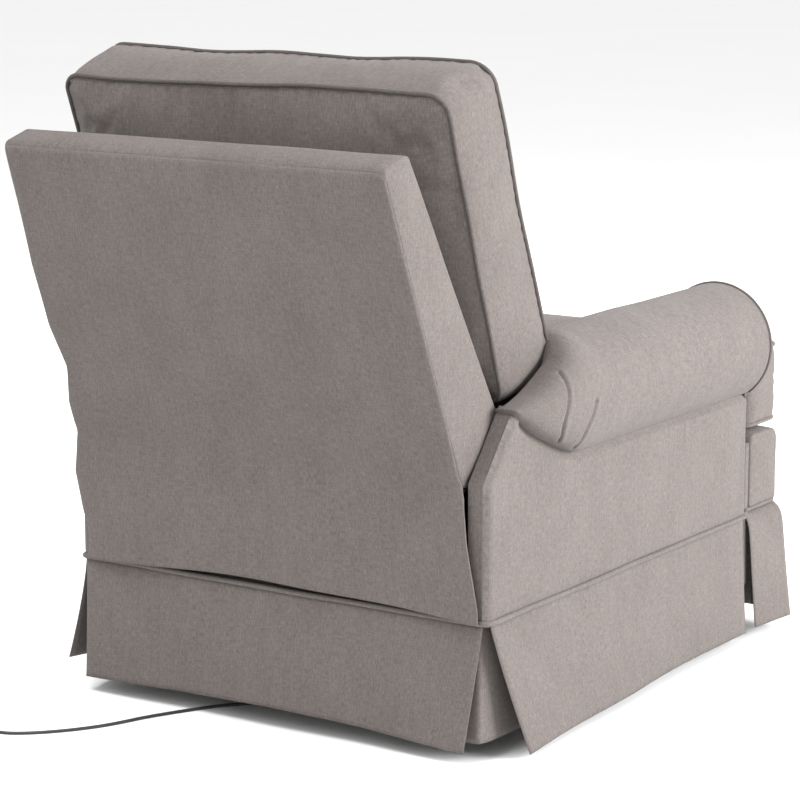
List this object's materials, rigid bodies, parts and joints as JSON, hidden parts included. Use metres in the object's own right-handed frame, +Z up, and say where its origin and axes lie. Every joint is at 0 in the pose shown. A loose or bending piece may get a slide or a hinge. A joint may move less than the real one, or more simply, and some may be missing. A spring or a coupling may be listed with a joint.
{
  "type": "glider nursery chair",
  "caption": "Skirted roll-arm glider recliner with a loose back cushion, power footrest, reclining back and a gliding base on hanging links.",
  "frame": {"origin": "on the floor, under the middle of the chair's box without the cord", "axes": "+Z up, the chair faces -Y, +X is the sitter's left"},
  "size_m": [0.8359, 1.3315, 1.0143],
  "materials": {
    "linen_cover": "warm grey linen-look upholstery weave",
    "wood_frame": "raw hardwood and plywood",
    "steel_mechanism": "black powder coat",
    "rubber_foot": "matt black",
    "black_plastic": "fine moulded texture",
    "cord_jacket": "smooth black jacket"
  },
  "bodies": {
    "base": {"base_runner_left": "steel_mechanism", "base_runner_right": "steel_mechanism", "base_cross_front": "steel_mechanism", "base_cross_rear": "steel_mechanism", "glide_bracket_front_left": "steel_mechanism", "glide_bracket_front_right": "steel_mechanism", "glide_bracket_rear_left": "steel_mechanism", "glide_bracket_rear_right": "steel_mechanism", "floor_glide_front_left": "rubber_foot", "floor_glide_front_right": "rubber_foot", "floor_glide_rear_left": "rubber_foot", "floor_glide_rear_right": "rubber_foot", "power_supply": "black_plastic", "cord_strain_relief": "black_plastic", "power_plug": "black_plastic", "power_cord": "cord_jacket", "power_cord_coil": "cord_jacket"},
    "glide_links_rear": {"glide_link_rear_left": "steel_mechanism", "glide_link_rear_right": "steel_mechanism"},
    "glide_links_front": {"glide_link_front_left": "steel_mechanism", "glide_link_front_right": "steel_mechanism"},
    "chassis": {"mechanism_plate_left": "steel_mechanism", "mechanism_plate_right": "steel_mechanism", "motor_rail": "steel_mechanism", "frame_rail_front": "wood_frame", "frame_rail_rear": "wood_frame", "seat_deck": "wood_frame", "seat_cushion": "linen_cover", "arm_panel_left": "linen_cover", "arm_panel_right": "linen_cover", "arm_inner_left": "linen_cover", "arm_inner_right": "linen_cover", "arm_roll_left": "linen_cover", "arm_roll_right": "linen_cover", "side_skirt_left": "linen_cover", "side_skirt_right": "linen_cover", "skirt_insert_left": "linen_cover", "skirt_insert_right": "linen_cover", "rear_skirt": "linen_cover", "motor_housing": "black_plastic", "control_panel": "black_plastic"},
    "drive_carriage": {"drive_carriage": "black_plastic"},
    "button_open": {"button_open": "black_plastic"},
    "button_close": {"button_close": "black_plastic"},
    "back": {"back_frame": "linen_cover", "back_cushion": "linen_cover", "back_bracket_left": "steel_mechanism", "back_bracket_right": "steel_mechanism"},
    "rear_flap": {"rear_flap": "linen_cover"},
    "footrest_lower": {"footrest_torque_tube": "steel_mechanism", "footrest_link_lower_left": "steel_mechanism", "footrest_link_lower_right": "steel_mechanism"},
    "footrest_upper": {"footrest_link_upper_left": "steel_mechanism", "footrest_link_upper_right": "steel_mechanism"},
    "footrest": {"footrest_bracket_left": "steel_mechanism", "footrest_bracket_right": "steel_mechanism", "footrest_board": "wood_frame", "footrest_pad": "linen_cover", "front_skirt": "linen_cover"},
    "front_skirt_hem": {"front_skirt_hem": "linen_cover"}
  },
  "joints": [
    {"name": "glide", "type": "hinge", "parent": "base", "child": "glide_links_rear", "pos_m": [0, 0.13, 0.215], "axis": [1, 0, 0], "range_deg": [-25, 25]},
    {"name": "glide_rear_lower", "type": "hinge", "parent": "glide_links_rear", "child": "chassis", "pos_m": [0, 0.13, 0.095], "axis": [1, 0, 0], "range_deg": [-25, 25]},
    {"name": "glide_front", "type": "hinge", "parent": "base", "child": "glide_links_front", "pos_m": [0, -0.17, 0.215], "axis": [1, 0, 0], "range_deg": [-25, 25]},
    {"name": "recline", "type": "hinge", "parent": "chassis", "child": "back", "pos_m": [0, 0.245, 0.329], "axis": [-1, 0, 0], "range_deg": [0, 38]},
    {"name": "flap_hang", "type": "hinge", "parent": "back", "child": "rear_flap", "pos_m": [0, 0.381, 0.4147], "axis": [1, 0, 0], "range_deg": [0, 38]},
    {"name": "footrest_open", "type": "hinge", "parent": "chassis", "child": "footrest_lower", "pos_m": [0, -0.413, 0.282], "axis": [-1, 0, 0], "range_deg": [0, 105]},
    {"name": "footrest_knee", "type": "hinge", "parent": "footrest_lower", "child": "footrest_upper", "pos_m": [0, -0.37383, 0.05983], "axis": [1, 0, 0], "range_deg": [0, 170.5]},
    {"name": "footrest_turn", "type": "hinge", "parent": "footrest_upper", "child": "footrest", "pos_m": [0, -0.413, 0.282], "axis": [-1, 0, 0], "range_deg": [0, 145.5]},
    {"name": "front_hem_hang", "type": "hinge", "parent": "footrest", "child": "front_skirt_hem", "pos_m": [0, -0.575, 0.0937], "axis": [1, 0, 0], "range_deg": [0, 80.5]},
    {"name": "drive_travel", "type": "slide", "parent": "chassis", "child": "drive_carriage", "axis": [0, -1, 0], "range_m": [0, 0.1505]},
    {"name": "button_open_press", "type": "slide", "parent": "chassis", "child": "button_open", "axis": [-1, 0, 0], "range_m": [0, 0.0025], "stiffness_N_per_m": 600},
    {"name": "button_close_press", "type": "slide", "parent": "chassis", "child": "button_close", "axis": [-1, 0, 0], "range_m": [0, 0.0025], "stiffness_N_per_m": 600}
  ],
  "couplings": [
    {"joint": "glide_rear_lower", "follows": "glide", "ratio": -1},
    {"joint": "glide_front", "follows": "glide", "ratio": 1},
    {"joint": "flap_hang", "follows": "recline", "ratio": 1},
    {"joint": "footrest_knee", "follows": "footrest_open", "ratio": 1.619},
    {"joint": "footrest_turn", "follows": "footrest_open", "ratio": 1.381},
    {"joint": "front_hem_hang", "follows": "footrest_open", "ratio": 0.76191},
    {"joint": "drive_travel", "follows": "footrest_open", "m_per_rad": 0.081851}
  ]
}
